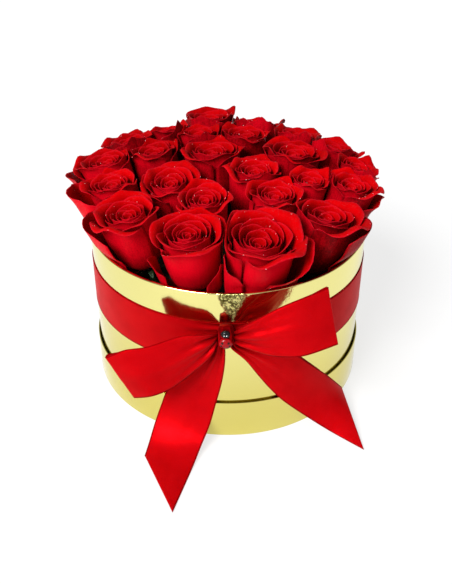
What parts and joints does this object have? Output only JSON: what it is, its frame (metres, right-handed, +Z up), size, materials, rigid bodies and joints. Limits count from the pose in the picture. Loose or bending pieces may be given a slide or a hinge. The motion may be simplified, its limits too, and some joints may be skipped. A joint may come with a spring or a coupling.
{
  "type": "flower hat box",
  "caption": "Round foil hat box standing in its own lid, filled with a dome of open red roses in floral foam and tied round with a wide satin ribbon and bow.",
  "frame": {"origin": "centre of the underside of the lid that the box stands in, on the surface that it rests on", "axes": "+Z up along the box's axis; -Y is the front, where the bow is; +X is the viewer's right"},
  "size_m": [0.2519, 0.318, 0.1816],
  "materials": {
    "foil_card": "polished gold foil on grey board",
    "liner_film": "gloss",
    "foam": "matte, soaked with water",
    "satin": "satin",
    "petals": "velvety rose petal",
    "stems": "fresh green rose stem and sepals",
    "red_lacquer": "gloss",
    "black_lacquer": "gloss"
  },
  "bodies": {
    "root": {"box_body": "foil_card", "lid_tray": "foil_card", "liner": "liner_film", "floral_foam": "foam", "ribbon_band": "satin", "bow_loop_left": "satin", "bow_loop_right": "satin", "bow_tail_left": "satin", "bow_tail_right": "satin", "bow_knot": "satin", "ladybird_body": "red_lacquer", "ladybird_head": "black_lacquer", "rose_bloom_a": "petals", "rose_bloom_b": "petals", "rose_bloom_c": "petals", "rose_bloom_d": "petals", "rose_bloom_e": "petals", "rose_bloom_f": "petals", "rose_bloom_g": "petals", "rose_bloom_h": "petals", "rose_bloom_i": "petals", "rose_bloom_j": "petals", "rose_bloom_k": "petals", "rose_bloom_l": "petals", "rose_bloom_m": "petals", "rose_bloom_n": "petals", "rose_bloom_o": "petals", "rose_bloom_p": "petals", "rose_bloom_q": "petals", "rose_bloom_r": "petals", "rose_bloom_s": "petals", "rose_bloom_t": "petals", "rose_bloom_u": "petals", "rose_bloom_v": "petals", "rose_bloom_w": "petals", "rose_bloom_x": "petals", "rose_stem_a": "stems", "rose_stem_b": "stems", "rose_stem_c": "stems", "rose_stem_d": "stems", "rose_stem_e": "stems", "rose_stem_f": "stems", "rose_stem_g": "stems", "rose_stem_h": "stems", "rose_stem_i": "stems", "rose_stem_j": "stems", "rose_stem_k": "stems", "rose_stem_l": "stems", "rose_stem_m": "stems", "rose_stem_n": "stems", "rose_stem_o": "stems", "rose_stem_p": "stems", "rose_stem_q": "stems", "rose_stem_r": "stems", "rose_stem_s": "stems", "rose_stem_t": "stems", "rose_stem_u": "stems", "rose_stem_v": "stems", "rose_stem_w": "stems", "rose_stem_x": "stems"}
  },
  "joints": []
}
